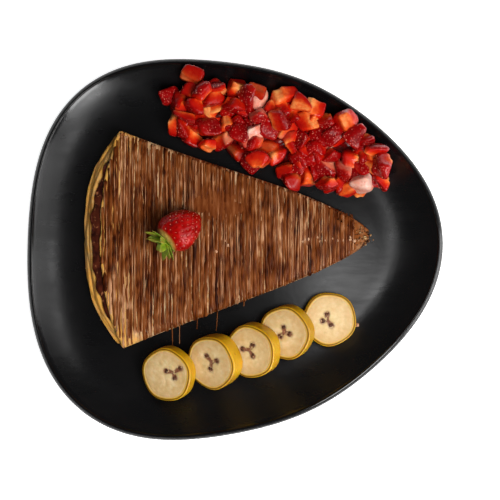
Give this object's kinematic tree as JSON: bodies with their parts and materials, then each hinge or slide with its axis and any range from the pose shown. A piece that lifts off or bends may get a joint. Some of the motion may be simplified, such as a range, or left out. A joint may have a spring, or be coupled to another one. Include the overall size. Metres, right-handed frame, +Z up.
{
  "type": "folded crepe",
  "caption": "Chocolate crepe folded into a wedge on a black three-cornered plate, with diced strawberries, a whole strawberry and leaning banana slices.",
  "frame": {"origin": "middle of the plate's bounding box, on the table under the foot ring", "axes": "+X from the crepe's curved edge to its tip, +Y towards the diced strawberries, +Z up"},
  "size_m": [0.2823, 0.2587, 0.0539],
  "materials": {
    "black_glaze": "satin black glaze",
    "crepe_with_chocolate": "browned crepe under chocolate drizzle",
    "chocolate_spread": "soft dark chocolate spread",
    "strawberry_red": "moist strawberry skin and cut flesh",
    "strawberry_leaf": "matte green leaf",
    "banana_flesh_and_peel": "moist pale flesh in yellow peel"
  },
  "bodies": {
    "root": {"plate": "black_glaze", "crepe": "crepe_with_chocolate", "chocolate_filling": "chocolate_spread", "diced_strawberries": "strawberry_red", "whole_strawberry": "strawberry_red", "strawberry_leaves": "strawberry_leaf", "banana_slice_1": "banana_flesh_and_peel", "banana_slice_2": "banana_flesh_and_peel", "banana_slice_3": "banana_flesh_and_peel", "banana_slice_4": "banana_flesh_and_peel", "banana_slice_5": "banana_flesh_and_peel"}
  },
  "joints": []
}
